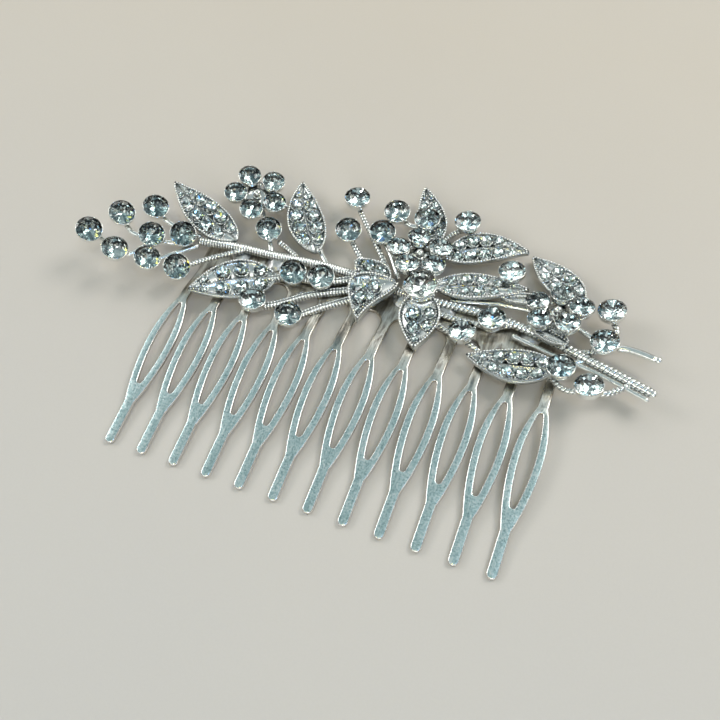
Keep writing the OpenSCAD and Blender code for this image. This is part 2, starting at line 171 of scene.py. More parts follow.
def cast_silver(name, base, dark, rough_lo, rough_hi, grain=2600.0, grain_d=0.00002, wear=1.0, depth=0.0011):
    """Bright silver plate on a casting: polished high spots, dark oxidised hollows deepened by painted shade where
    ambient occlusion finds crevices, fine pitting.
    """
    mat, nt, b = new_mat(name)
    co = obj_coord(nt)
    geo = nt.nodes.new("ShaderNodeNewGeometry")
    edge = remap(nt, geo.outputs["Pointiness"], 0.44, 0.53, 0.35, 1.0)
    # painted shade: ambient occlusion pulls the colour towards the dark tone in crevices between pieces
    openness = remap(nt, painted_crevice_shade(nt, depth), 0.15, 0.75, 0.0, 1.0)
    blotch = noise(nt, co, 420.0, 4.0)
    shade_and_blotch = math_node(nt, "MULTIPLY", openness, remap(nt, blotch, 0.3, 0.65, 0.72, 1.0))
    wear_and_shade = math_node(nt, "MULTIPLY", edge, shade_and_blotch)
    nt.links.new(ramp(nt, wear_and_shade, [(0.0, dark), (0.40, tuple(0.55 * d + 0.45 * c for c, d in zip(base, dark))),
                                    (0.85, base)]), b.inputs["Base Color"])
    b.inputs["Metallic"].default_value = 1.0
    fine = noise(nt, co, grain, 3.0)
    r = math_node(nt, "ADD", remap(nt, fine, 0.3, 0.7, rough_lo, rough_hi),
                  remap(nt, wear_and_shade, 0.0, 1.0, 0.12 * wear, 0.0))
    nt.links.new(r, b.inputs["Roughness"])
    n1 = bump(nt, b, noise(nt, co, 900.0, 3.0), 0.00010, 0.5)
    bump(nt, b, fine, grain_d, 0.5, n1)
    return mat


SILVER_STEM = cast_silver("stem_silver", (0.97, 0.995, 0.98), (0.30, 0.34, 0.33), 0.10, 0.22)
# painted shade: a dark grey copy of the stem silver, given to the faces in the wire grooves
STEM_GROOVE_SHADE = cast_silver("stem_groove_painted_shade", (0.36, 0.39, 0.385), (0.16, 0.18, 0.18), 0.25, 0.42, grain=1900.0)
SILVER_LEAF = cast_silver("leaf_silver", (0.98, 1.0, 0.985), (0.20, 0.235, 0.24), 0.10, 0.22)
SILVER_CUP = cast_silver("cup_silver", (0.93, 0.95, 0.93), (0.26, 0.28, 0.28), 0.07, 0.16, grain=1800.0)
SOLDER = cast_silver("solder_grey", (0.66, 0.67, 0.67), (0.18, 0.19, 0.19), 0.24, 0.45, grain=1400.0, grain_d=0.00006)


def comb_material():
    """Satin flats with a fine grain, polished rolled edges that are less rough and carry a painted near-white highlight
    colour, faint drawing marks along the teeth.
    """
    mat, nt, b = new_mat("comb_satin_silver")
    co = obj_coord(nt)
    geo = nt.nodes.new("ShaderNodeNewGeometry")
    sep = nt.nodes.new("ShaderNodeSeparateXYZ")
    nt.links.new(geo.outputs["Normal"], sep.inputs["Vector"])
    facing = math_node(nt, "ABSOLUTE", sep.outputs["Z"])
    flat = remap(nt, facing, 0.86, 0.975, 0.0, 1.0)
    grain = noise(nt, co, 3000.0, 3.0, 0.65)
    patches = noise(nt, co, 340.0, 3.0)
    mp = nt.nodes.new("ShaderNodeMapping")
    mp.inputs["Scale"].default_value = (5200.0, 260.0, 900.0)
    nt.links.new(co, mp.inputs["Vector"])
    drawn = noise(nt, mp.outputs["Vector"], 1.0, 2.0)
    tone = math_node(nt, "ADD", math_node(nt, "MULTIPLY", grain, 0.72), math_node(nt, "MULTIPLY", drawn, 0.28))
    satin = ramp(nt, tone, [(0.40, (0.42, 0.58, 0.59)), (0.50, (0.66, 0.84, 0.85)), (0.60, (0.93, 1.0, 1.0))])
    satin = mix_rgb(nt, remap(nt, patches, 0.35, 0.7, 0.0, 0.35), satin, (0.54, 0.72, 0.73))
    # painted highlight: the rounded edges, faces that do not face straight up or down, get a near-white colour
    plate = mix_rgb(nt, flat, (1.0, 0.995, 0.98), satin)
    pos = nt.nodes.new("ShaderNodeSeparateXYZ")
    nt.links.new(co, pos.inputs["Vector"])
    # painted reflection: over the necks of the teeth the colour is streaked dark, tan and bright like mirrored
    # surroundings
    high = remap(nt, pos.outputs["Y"], -0.0165, -0.0095, 0.0, 1.0)
    streak = nt.nodes.new("ShaderNodeMapping")
    streak.inputs["Scale"].default_value = (900.0, 160.0, 300.0)
    nt.links.new(co, streak.inputs["Vector"])
    neck_reflection = ramp(nt, noise(nt, streak.outputs["Vector"], 1.0, 3.0), [(0.34, (0.14, 0.12, 0.10)), (0.46, (0.62, 0.57, 0.49)),
                                                                       (0.56, (0.95, 0.93, 0.86)), (0.66, (0.36, 0.31, 0.26))])
    plate = mix_rgb(nt, math_node(nt, "MULTIPLY", high, 0.92), plate, neck_reflection)
    shade = remap(nt, painted_crevice_shade(nt, 0.005), 0.05, 0.75, 0.0, 1.0)
    plate = mix_rgb(nt, shade, (0.36, 0.32, 0.27), plate)
    nt.links.new(plate, b.inputs["Base Color"])
    b.inputs["Metallic"].default_value = 1.0
    rough = mix_rgb(nt, flat, (0.18, 0.18, 0.18), ramp(nt, tone, [(0.3, (0.25, 0.25, 0.25)), (0.7, (0.40, 0.40, 0.40))]))
    nt.links.new(rough, b.inputs["Roughness"])
    n1 = bump(nt, b, math_node(nt, "MULTIPLY", tone, flat), 0.00004, 0.9)
    bump(nt, b, noise(nt, co, 240.0, 3.0), 0.00012, 0.30, n1)
    return mat


COMB = comb_material()


def crystal_material(name, tint, rough_hi):
    """Cut glass: clear, hardly rough, with the faint scratches and swirls of a moulded stone."""
    mat, nt, b = new_mat(name)
    co = obj_coord(nt)
    swirl = noise(nt, co, 700.0, 3.0)
    nt.links.new(ramp(nt, swirl, [(0.3, tuple(c * 0.90 for c in tint)), (0.7, tint)]), b.inputs["Base Color"])
    b.inputs["Metallic"].default_value = 0.0
    b.inputs["Transmission Weight"].default_value = 1.0
    b.inputs["IOR"].default_value = 1.56
    nt.links.new(remap(nt, noise(nt, co, 3000.0, 3.0), 0.45, 0.8, 0.0, rough_hi), b.inputs["Roughness"])
    bump(nt, b, swirl, 0.00001, 0.25)
    return mat


def foil_material(name, colours):
    """The mirrored back of a stone, seen through the glass. Its tone changes from facet to facet."""
    mat, nt, b = new_mat(name)
    co = obj_coord(nt)
    geo = nt.nodes.new("ShaderNodeNewGeometry")
    shift = noise(nt, co, 500.0, 2.0)
    facet = nt.nodes.new("ShaderNodeTexWhiteNoise")
    facet.noise_dimensions = "3D"
    snap = nt.nodes.new("ShaderNodeVectorMath")
    snap.operation = "SNAP"
    snap.inputs[1].default_value = (0.04, 0.04, 0.04)
    nt.links.new(geo.outputs["True Normal"], snap.inputs[0])
    nt.links.new(snap.outputs["Vector"], facet.inputs["Vector"])
    fac = math_node(nt, "ADD", math_node(nt, "MULTIPLY", facet.outputs["Value"], 0.75), math_node(nt, "MULTIPLY", shift, 0.25))
    nt.links.new(ramp(nt, fac, colours), b.inputs["Base Color"])
    b.inputs["Metallic"].default_value = 1.0
    nt.links.new(remap(nt, noise(nt, co, 2500.0), 0.4, 0.8, 0.02, 0.10), b.inputs["Roughness"])
    bump(nt, b, shift, 0.00002, 0.3)
    return mat


CRYSTAL = crystal_material("crystal_glass", (0.94, 1.0, 0.995), 0.03)
FOIL = foil_material("crystal_foil", [(0.0, (0.10, 0.135, 0.15)), (0.24, (0.38, 0.48, 0.51)), (0.48, (0.80, 0.88, 0.885)),
                                      (0.75, (0.98, 1.0, 0.99)), (1.0, (1.0, 1.0, 1.0))])
PAVE = crystal_material("pave_glass", (0.95, 1.0, 0.99), 0.03)
PAVE_FOIL = foil_material("pave_foil", [(0.0, (0.06, 0.09, 0.10)), (0.26, (0.40, 0.50, 0.52)), (0.48, (0.84, 0.92, 0.92)),
                                        (0.8, (0.95, 0.97, 0.97)), (1.0, (1.0, 1.0, 1.0))])
PALE = crystal_material("pale_glass", (0.985, 1.0, 0.995), 0.06)
PALE_FOIL = foil_material("pale_foil", [(0.0, (0.60, 0.67, 0.66)), (0.4, (0.84, 0.90, 0.88)), (0.8, (0.97, 0.99, 0.97)), (1.0, (1.0, 1.0, 1.0))])


# =====================================================================
# mesh helpers: everything below is in millimetres until it is made
# =====================================================================
class Mesh:
    def __init__(self):
        self.v, self.f, self.mi, self.smooth = [], [], [], []

    def add(self, verts, faces, mat=0, smooth=True, matrix=None):
        base = len(self.v)
        for p in verts:
            p = Vector(p)
            self.v.append(matrix @ p if matrix is not None else p)
        for k, face in enumerate(faces):
            self.f.append([base + i for i in face])
            self.mi.append(mat[k] if isinstance(mat, (list, tuple)) else mat)
            self.smooth.append(smooth[k] if isinstance(smooth, (list, tuple)) else smooth)

    def make(self, name, mats, slot, nodes=(), angle=None):
        me = bpy.data.meshes.new(name)
        me.from_pydata([tuple(p * MM) for p in self.v], [], self.f)
        for mt in mats:
            me.materials.append(mt)
        me.polygons.foreach_set("material_index", self.mi)
        me.polygons.foreach_set("use_smooth", self.smooth)
        me.update()
        if angle is not None:
            me.set_sharp_from_angle(angle=math.radians(angle))
        ob = bpy.data.objects.new(name, me)
        scene.collection.objects.link(ob)
        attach(ob, "root")
        if nodes:
            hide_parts(*nodes)
        return ob


def lift(x):
    return 4.0 * (max(0.0, -x - 18.0) / 34.0) ** 1.5 + 2.0 * (max(0.0, x - 18.0) / 30.0) ** 1.5


def seat(s, z):
    return (Matrix.Translation((s[0], s[1], z + lift(s[0])))
            @ Matrix.Rotation(math.radians(s[2]), 4, "Y") @ Matrix.Rotation(math.radians(-s[3]), 4, "X"))


def revolve(profile, n, wobble=None):
    """Closed solid from a profile whose first and last points are on the axis."""
    verts, faces = [(0, 0, profile[0][1])], []
    rings = profile[1:-1]
    for r, z in rings:
        for k in range(n):
            a = 2 * math.pi * k / n
            dr, dz = wobble(a, r, z) if wobble else (0.0, 0.0)
            verts.append(((r + dr) * math.cos(a), (r + dr) * math.sin(a), z + dz))
    verts.append((0, 0, profile[-1][1]))
    last = len(verts) - 1
    for k in range(n):
        faces.append((0, 1 + (k + 1) % n, 1 + k))
    for i in range(len(rings) - 1):
        for k in range(n):
            a, b = 1 + i * n + k, 1 + i * n + (k + 1) % n
            faces.append((a, b, b + n, a + n))
    o = 1 + (len(rings) - 1) * n
    for k in range(n):
        faces.append((last, o + k, o + (k + 1) % n))
    return verts, faces


def ball(rx, ry, rz, rings=5, n=8):
    prof = [(0.0, -rz)] + [(math.sin(math.pi * i / rings), -rz * math.cos(math.pi * i / rings)) for i in range(1, rings)] + [(0.0, rz)]
    v, f = revolve(prof, n)
    return [(p[0] * rx, p[1] * ry, p[2]) for p in v], f


def brilliant(r, zt, zg1, zg0, zc, rt=0.56, turn=0.0, pits=0.30):
    """A round cut stone. Crown faces use material 0 and pavilion faces material 1."""
    V, F, M = [], [], []

    def put(rad, ang, z):
        V.append((rad * math.cos(ang + turn), rad * math.sin(ang + turn), z))
        return len(V) - 1
    st = math.pi / 4
    T = [put(r * rt, k * st, zt) for k in range(8)]
    rm = 0.5 * (rt + 1.0) + 0.02
    zm = zt - (rm * math.cos(st / 2) - rt) * (zt - zg1) / (1 - rt)
    C = [put(r * rm, (k + 0.5) * st, zm) for k in range(8)]
    G1 = [put(r, k * st / 2, zg1) for k in range(16)]
    G0 = [put(r, k * st / 2, zg0) for k in range(16)]
    zl = zc + pits * math.cos(st / 2) * (zg0 - zc)
    L = [put(r * pits, (k + 0.5) * st, zl) for k in range(8)]
    K = put(0.0, 0.0, zc)

    def face(ids, mat):
        F.append(tuple(ids))
        M.append(mat)
    face(T, 0)
    for k in range(8):
        j = (k + 1) % 8
        face((T[k], C[k], T[j]), 0)
        face((T[k], C[k - 1], G1[2 * k], C[k]), 0)
        face((C[k], G1[2 * k], G1[2 * k + 1]), 0)
        face((C[k], G1[2 * k + 1], G1[(2 * k + 2) % 16]), 0)
        face((G0[2 * k], L[k - 1], K, L[k]), 1)
        face((G0[2 * k], L[k], G0[2 * k + 1]), 1)
        face((G0[2 * k + 1], L[k], G0[(2 * k + 2) % 16]), 1)
    for k in range(16):
        face((G0[k], G0[(k + 1) % 16], G1[(k + 1) % 16], G1[k]), 0)
    return V, F, M


# =====================================================================
# the stamped comb
# =====================================================================
PITCH, TIP, SHEET, EDGE = 5.9, -40.0, 0.8, 0.24
WIDE, SHOULDER, CROTCH, SLOT_TOP, MERGE = TIP + 19.5, TIP + 7.7, TIP + 11.2, TIP + 27.4, TIP + 28.4
FINGER, EYE, SLOT, NECK = 1.75, 5.1, 2.4, 1.8
ARCH_R = (PITCH - NECK) / 2
ARCH_Y = -2.5 - ARCH_R
HALF_X = 11 * PITCH / 2 + NECK / 2 + 0.2


def tooth_hw(y):
    if y < WIDE:
        u = (WIDE - y) / (WIDE - SHOULDER)
        return FINGER / 2 + (EYE - FINGER) / 2 * (1 - u * u)
    u = (y - WIDE) / (MERGE - WIDE)
    return NECK / 2 + (EYE - NECK) / 2 * (1 - u * u)


def slot_hw(y):
    if y < WIDE:
        u = (WIDE - y) / (WIDE - CROTCH)
        return 0.36 + (SLOT / 2 - 0.36) * (1 - u * u)
    u = (y - WIDE) / (SLOT_TOP - WIDE)
    return 0.26 + (SLOT / 2 - 0.26) * (1 - u * u)


def comb_outline():
    n_up, n_dn, n_tip, n_arch = 26, 22, 10, 16
    left = [(-tooth_hw(MERGE + (WIDE - MERGE) * i / n_up), MERGE + (WIDE - MERGE) * i / n_up) for i in range(n_up)]
    left += [(-tooth_hw(WIDE + (SHOULDER - WIDE) * i / n_dn), WIDE + (SHOULDER - WIDE) * i / n_dn) for i in range(n_dn + 1)]
    left += [(-FINGER / 2, SHOULDER - (SHOULDER - TIP - FINGER / 2) * i / 6) for i in range(1, 6)]
    left += [(FINGER / 2 * math.cos(math.pi + math.pi / 2 * i / n_tip), TIP + FINGER / 2 + FINGER / 2 * math.sin(math.pi + math.pi / 2 * i / n_tip))
             for i in range(n_tip)]
    edge = left + [(0.0, TIP)] + [(-x, y) for x, y in reversed(left)]
    pts = []
    for k in range(5):
        a = math.pi / 2 * k / 4
        pts.append((HALF_X - 0.6 + 0.6 * math.cos(a), 1.9 + 0.6 * math.sin(a)))
    for k in range(5):
        a = math.pi / 2 + math.pi / 2 * k / 4
        pts.append((-HALF_X + 0.6 + 0.6 * math.cos(a), 1.9 + 0.6 * math.sin(a)))
    pts += [(-HALF_X, -2.3), (-HALF_X + 0.06, -2.75), (-HALF_X + 0.2, -3.1)]
    for i in range(12):
        cx = (i - 5.5) * PITCH
        pts += [(x + cx, y) for x, y in edge]
        if i < 11:
            for k in range(n_arch + 1):
                a = math.pi - math.pi * k / n_arch
                pts.append((cx + PITCH / 2 + ARCH_R * math.cos(a), ARCH_Y + ARCH_R * math.sin(a)))
    pts += [(HALF_X - 0.2, -3.1), (HALF_X - 0.06, -2.75), (HALF_X, -2.3)]
    return pts


def slot_outline():
    n = 20
    right = [(slot_hw(CROTCH + 0.3), CROTCH + 0.3)]
    right = [(0.17, CROTCH), (slot_hw(CROTCH + 0.3) - 0.06, CROTCH + 0.16)]
    right += [(slot_hw(CROTCH + 0.3 + (WIDE - CROTCH - 0.3) * i / n), CROTCH + 0.3 + (WIDE - CROTCH - 0.3) * i / n) for i in range(n)]
    right += [(slot_hw(WIDE + (SLOT_TOP - 0.3 - WIDE) * i / n), WIDE + (SLOT_TOP - 0.3 - WIDE) * i / n) for i in range(n + 1)]
    right += [(0.15, SLOT_TOP - 0.03)]
    return right + [(-x, y) for x, y in reversed(right)]


SIDE = [(TIP - 1, -1.5 / 27.5), (TIP, 0.0), (SLOT_TOP, 1.5), (SLOT_TOP + 2, 1.5), (SLOT_TOP + 3.4, 1.29),
        (ARCH_Y - 1.2, 0.21), (ARCH_Y + 0.2, 0.0), (3.5, 0.0)]


def side_z(y):
    for (a, za), (b, zb) in zip(SIDE, SIDE[1:]):
        if y <= b:
            return za + (zb - za) * (y - a) / (b - a)
    return SIDE[-1][1]


def side_smooth(y):
    """The underside's height, with its bends rounded over 0.7 mm."""
    if y < TIP + 0.7:
        return side_z(y)
    return sum(side_z(y + d * 0.1) for d in range(-7, 8)) / 15.0


def build_comb():
    cu = bpy.data.curves.new("comb_curve", "CURVE")
    cu.dimensions = "2D"
    cu.fill_mode = "BOTH"
    cu.extrude = (SHEET / 2 - EDGE) * MM
    cu.bevel_depth = EDGE * MM
    cu.bevel_resolution = 3
    cu.offset = -EDGE * MM

    def spline(pts):
        sp = cu.splines.new("POLY")
        sp.points.add(len(pts) - 1)
        sp.points.foreach_set("co", [c for x, y in pts for c in (x * MM, y * MM, 0.0, 1.0)])
        sp.use_cyclic_u = True
    spline(comb_outline())
    for i in range(12):
        spline([(x + (i - 5.5) * PITCH, y) for x, y in slot_outline()])
    tmp = bpy.data.objects.new("comb_tmp", cu)
    scene.collection.objects.link(tmp)
    dg = bpy.context.evaluated_depsgraph_get()
    me = bpy.data.meshes.new_from_object(tmp.evaluated_get(dg))
    bpy.data.objects.remove(tmp)
    bm = bmesh.new()
    bm.from_mesh(me)
    bpy.data.meshes.remove(me)
    bmesh.ops.remove_doubles(bm, verts=bm.verts, dist=2e-6)
    bmesh.ops.dissolve_degenerate(bm, edges=bm.edges, dist=1e-6)
    y = TIP + 0.5
    while y < 2.4:
        bmesh.ops.bisect_plane(bm, geom=bm.verts[:] + bm.edges[:] + bm.faces[:], dist=1e-7,
                               plane_co=(0, y * MM, 0), plane_no=(0, 1, 0))
        y += 0.55
    for v in bm.verts:
        v.co.z += (SHEET / 2 + side_smooth(v.co.y / MM)) * MM
    bmesh.ops.recalc_face_normals(bm, faces=bm.faces)
    for f in bm.faces:
        f.smooth = True
        f.material_index = 0
    me = bpy.data.meshes.new("comb_stamping")
    bm.to_mesh(me)
    bm.free()
    me.materials.clear()
    me.materials.append(COMB)
    ob = bpy.data.objects.new("comb_stamping", me)
    scene.collection.objects.link(ob)
    wn = ob.modifiers.new("weighted", "WEIGHTED_NORMAL")
    wn.weight = 80
    wn.keep_sharp = False
    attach(ob, "root")
    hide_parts("comb_blank")
    return ob


build_comb()


# =====================================================================
# stems
# =====================================================================
def catmull(p, n):
    out = []
    for i in range(len(p) - 1):
        a, b, c, d = p[max(0, i - 1)], p[i], p[i + 1], p[min(len(p) - 1, i + 2)]
        for k in range(n):
            u = k / n
            out.append(0.5 * (2 * b + (c - a) * u + (2 * a - 5 * b + 4 * c - d) * u * u + (3 * b - a - 3 * c + d) * u ** 3))
    out.append(p[-1])
    return out


def resample(pts, step):
    acc = [0.0]
    for a, b in zip(pts, pts[1:]):
        acc.append(acc[-1] + (b - a).length)
    total = acc[-1]
    n = max(3, int(round(total / step)))
    out, j = [], 0
    for i in range(n + 1):
        s = total * i / n
        while j < len(acc) - 2 and acc[j + 1] < s:
            j += 1
        u = (s - acc[j]) / max(1e-9, acc[j + 1] - acc[j])
        out.append(pts[j].lerp(pts[j + 1], min(1.0, max(0.0, u))))
    return out, total


def stem(mesh, points, d, kind, pitch=0.5):
    """A wire through points. kind is smooth, milled (ridges across it) or rope (slanted ridges)."""
    raw = [Vector((x, y, 1.5 + dz + lift(x))) for x, y, dz in points]
    step = pitch / 6 if kind != "smooth" else 0.3
    pts, total = resample(catmull(raw, 24), step)
    sides = 28 if kind == "double" else 16
    r0 = d / 2
    rings = []
    n = len(pts)
    for i, p in enumerate(pts):
        t = (pts[min(n - 1, i + 1)] - pts[max(0, i - 1)]).normalized()
        u = Vector((0, 0, 1)).cross(t).normalized()
        w = t.cross(u)
        s = total * i / (n - 1)
        near = max(0.0, min(s, total - s))
        ring = []
        for k in range(sides):
            a = 2 * math.pi * k / sides
            if kind == "milled":
                r = r0 * (0.86 + 0.17 * abs(math.cos(math.pi * s / pitch)))
            elif kind == "rope":
                r = r0 * (0.84 + 0.19 * abs(math.cos(math.pi * s / pitch + a)))
            elif kind == "double":
                r = r0 * (0.86 + 0.17 * abs(math.cos(math.pi * (s / pitch + 0.22 * math.sin(a) ** 2))))
                r *= 1.0 - 0.30 * math.exp(-(math.cos(a) / 0.16) ** 2)
            else:
                r = r0 * (0.96 + 0.02 * math.sin(s * 1.7 + a))
            r *= 0.55 + 0.45 * min(1.0, near / (0.35 * d)) ** 0.5 if near < 0.35 * d else 1.0
            ring.append(p + u * (math.cos(a) * r) + w * (math.sin(a) * r * 0.94))
        rings.append(ring)
    verts = [p for ring in rings for p in ring]
    faces = []
    mats = []
    for i in range(n - 1):
        s = total * (i + 0.5) / (n - 1)
        for k in range(sides):
            a, b = i * sides + k, i * sides + (k + 1) % sides
            faces.append((a, b, b + sides, a + sides))
            ang = 2 * math.pi * (k + 0.5) / sides
            # faces in the grooves and in the seam take material 1, the dark copy: painted shade
            if kind == "milled":
                mats.append(int(abs(math.cos(math.pi * s / pitch)) < 0.52))
            elif kind == "rope":
                mats.append(int(abs(math.cos(math.pi * s / pitch + ang)) < 0.45))
            elif kind == "double":
                mats.append(int(abs(math.cos(math.pi * (s / pitch + 0.22 * math.sin(ang) ** 2))) < 0.48 or abs(math.cos(ang)) < 0.14))
            else:
                mats.append(0)
    verts += [pts[0] - (pts[1] - pts[0]).normalized() * (0.12 * d), pts[-1] + (pts[-1] - pts[-2]).normalized() * (0.12 * d)]
    e0, e1 = len(verts) - 2, len(verts) - 1
    for k in range(sides):
        faces.append((e0, (k + 1) % sides, k))
        faces.append((e1, (n - 1) * sides + k, (n - 1) * sides + (k + 1) % sides))
        mats += [0, 0]
    mesh.add(verts, faces, mat=mats)


def knob(mesh, x, y, dz, rx, rz):
    v, f = ball(rx, rx, rz, 8, 14)
    mesh.add(v, f, matrix=Matrix.Translation((x, y, 1.5 + dz + lift(x))))


STEMS = {
    "main_stem_left": [([(-35, 0, 0), (-31, 1, 0), (-27.5, 1.6, 0), (-20, 2.3, 0), (-12.5, 3, 0), (-6, 3, 0), (0, 2.6, 0), (6, 2, 0)], 1.7, "milled", 0.50)],
    "main_stem_right": [([(8, 2, 0), (14, 2.4, 0), (20, 2.4, 0), (26, 1.6, 0.1), (32, 0.2, 0.2), (39, -1.8, 0.2), (48, -4.5, 0.2)], 1.7, "rope", 0.80)],
    "under_wire_right": [([(24, -0.2, 0), (31, -1.7, 0), (39, -3.2, 0), (47.5, -5.8, 0)], 0.9, "smooth", 0.5)],
    "left_spray_stems": [
        ([(-53, -6.5, 0.2), (-50.5, -6.4, 0), (-48.1, -7.6, 0.1)], 1.1, "smooth", 0.5),
        ([(-49.5, -1, 0.2), (-46.5, -3, 0), (-42.5, -3, 0.2), (-38.5, -2, 0), (-36, -0.3, 0)], 1.1, "smooth", 0.5),
        ([(-46.8, -8.6, 0.2), (-44.5, -7, 0), (-43, -4.5, 0.1)], 1.1, "smooth", 0.5),
        ([(-44.5, 2.5, 0.2), (-41.5, 1.6, 0), (-37.8, 0.8, 0.1), (-34.6, 1.1, 0)], 1.1, "smooth", 0.5),
        ([(-41, -8, 0.2), (-38.5, -5, 0), (-34.4, -0.9, 0)], 1.1, "smooth", 0.5)],
    "left_branch_stems": [
        ([(-35.5, -7, 0.2), (-33.5, -4.5, 0), (-30, -1.5, 0), (-26, 1.6, 0)], 1.1, "milled", 0.6),
        ([(-28.5, 12.3, 0.3), (-25.8, 9.2, 0.1), (-23.5, 6, 0.2), (-21.5, 2.4, 0)], 1.1, "smooth", 0.6),
        ([(-26.8, 13, 0.2), (-24.5, 13, 0.1), (-21, 12.5, 0.1)], 1.1, "smooth", 0.6),
        ([(-21.4, 5.2, 0.1), (-19.5, 4.6, 0), (-16, 2.9, 0)], 1.1, "milled", 0.6),
        ([(-14.5, 7.5, 0.2), (-12.5, 5, 0), (-10.5, 3, 0)], 1.1, "smooth", 0.6)],
    "lower_branch_stems": [
        ([(-20, -9, 0.2), (-16.5, -7.2, 0), (-11.5, -3.5, 0), (-6.5, -1, 0), (-3, 0.4, 0)], 1.5, "double", 0.56),
        ([(-13, -9.5, 0.2), (-9, -5.6, 0), (-5, -2.6, 0), (0, 1, 0)], 1.5, "double", 0.56),
        ([(-20, -3, 0.2), (-15.5, -1, 0.2), (-10.5, -0.5, 0.2), (-5.6, 1.9, 0)], 1.5, "double", 0.56)],
    "top_branch_stems": [
        ([(-10.5, 17.5, 0.2), (-7, 13.5, 0), (-3, 9, 0), (0, 5.4, 0)], 1.1, "milled", 0.7),
        ([(-9.6, 10.6, 0.2), (-5.8, 6.7, 0), (-2.5, 3.8, 0)], 1.1, "milled", 0.7),
        ([(-3.5, 12, 0.2), (-0.5, 8.5, 0), (2.2, 4.6, 0)], 1.1, "smooth", 0.7),
        ([(-2.5, 17, 0.2), (0.5, 16.2, 0), (3.5, 15.6, 0.2), (4.4, 9, 0.2), (5, 3.4, 0)], 1.1, "smooth", 0.7),
        ([(10.5, 18.5, 0.2), (8, 16.4, 0), (6.6, 12, 0.1), (7, 5, 0)], 1.1, "milled", 0.6),
        ([(21, 10.5, 0.2), (20, 7.5, 0), (17, 6, 0.2), (12, 4, 0)], 1.1, "smooth", 0.6)],
    "right_branch_stems": [
        ([(38.8, 7.5, 0.2), (40.2, 5, 0), (39, 1.5, 0.2), (36, 0, 0), (33, -0.2, 0)], 1.1, "rope", 0.75),
        ([(31.6, 4.9, 0.15), (34.5, 4, 0.1), (37.6, 2.5, 0.1)], 1.1, "smooth", 0.6),
        ([(40.8, 2.1, 0.1), (43, 2.4, 0.2), (47.3, 1.6, 0.3)], 1.4, "smooth", 0.6),
        ([(29.9, 4.8, 0.25), (26.5, 5.4, 0.1), (20, 5, 0.1), (12, 3, 0)], 1.1, "smooth", 0.6)],
    "lower_right_stems": [
        ([(10, 0.2, 0), (14, 0, 0), (20.2, 0.3, 0.2), (24, 2, 0)], 1.1, "rope", 0.75),
        ([(10, -1.4, 0), (13, -2.6, 0), (16.4, -3.5, 0.2), (20, -5, 0.1)], 1.1, "rope", 0.75),
        ([(33.5, -5, 0.2), (35, -2.5, 0), (37, -1.2, 0)], 1.1, "smooth", 0.6),
        ([(31, -5, 0.2), (34.5, -7.5, 0.1), (38, -7, 0.2), (41.5, -6.2, 0.1), (44.5, -3.6, 0.1)], 1.1, "rope", 0.7)],
}
for node, parts in STEMS.items():
    me = Mesh()
    for pts, d, kind, pitch in parts:
        stem(me, pts, d, kind, pitch)
    if node == "right_branch_stems":
        knob(me, 47.4, 1.65, 0.42, 0.68, 0.5)
    if node == "main_stem_right":
        knob(me, 47.9, -4.48, 0.24, 0.72, 0.6)
    me.make(node + "_wire", [SILVER_STEM, STEM_GROOVE_SHADE], "stem_metal", [node])


# solder fillets
me = Mesh()
for i, (x, y) in enumerate([(-27, 0.8), (-20, 1.2), (-12, 1.4), (-4, 1.6), (4, 1.4), (12, 1.6), (20, 1.4), (27, 0.8)]):
    ph = rng.random() * 6.28

    def wob(a, r, z, ph=ph):
        return 0.12 * r * math.sin(3 * a + ph) * 0.6, 0.02 * math.sin(5 * a + ph)
    v, f = revolve([(0, 0.02), (1.0, 0.02), (1.78, 0.02), (1.72, 0.12), (1.5, 0.24), (1.25, 0.42), (1.0, 0.57), (0.7, 0.66), (0.35, 0.69), (0, 0.7)], 24, wob)
    me.add(v, f, matrix=Matrix.Translation((x, y, SHEET)))
me.make("solder_fillets", [SOLDER], "solder", ["solder_joints"])


# =====================================================================
# cups and round stones
# =====================================================================
def cup_shape(d, h):
    r = d / 2
    prof = [(0, 0), (r * 0.30, 0), (r * 0.5, 0.02 * h), (r * 0.68, 0.10 * h), (r * 0.82, 0.24 * h), (r * 0.92, 0.44 * h),
            (r * 0.975, 0.64 * h), (r * 0.99, 0.80 * h), (r * 0.995, 0.92 * h), (r - 0.03, 0.975 * h), (r - 0.08, h), (r - 0.15, h),
            (r - 0.20, 0.975 * h), (r - 0.22, 0.90 * h), (r - 0.24, 0.62 * h), (r * 0.5, 0.34), (0, 0.32)]
    return revolve(prof, 40)


def stone_shape(d, h):
    r = d / 2 - 0.10
    return brilliant(r, h + 0.3 * (d / 2 - 0.24) + 0.06, h + 0.12, h + 0.0, 0.40, rt=0.60, turn=rng.random() * 0.8, pits=0.32)


def add_cup(me, mt, d, h):
    v, f = cup_shape(d, h)
    me.add(v, f, matrix=mt)
    # claws pressed over the girdle
    r = d / 2
    a0 = rng.random() * 1.5
    for k in range(4):
        a = a0 + k * math.pi / 2
        v, f = ball(0.17, 0.26, 0.30, 5, 8)
        me.add(v, f, matrix=mt @ Matrix.Rotation(a, 4, "Z") @ Matrix.Translation((r - 0.14, 0, h - 0.04)))


def add_stone(me, mt, d, h):
    v, f, mi = stone_shape(d, h)
    me.add(v, f, mat=mi, smooth=False, matrix=mt)


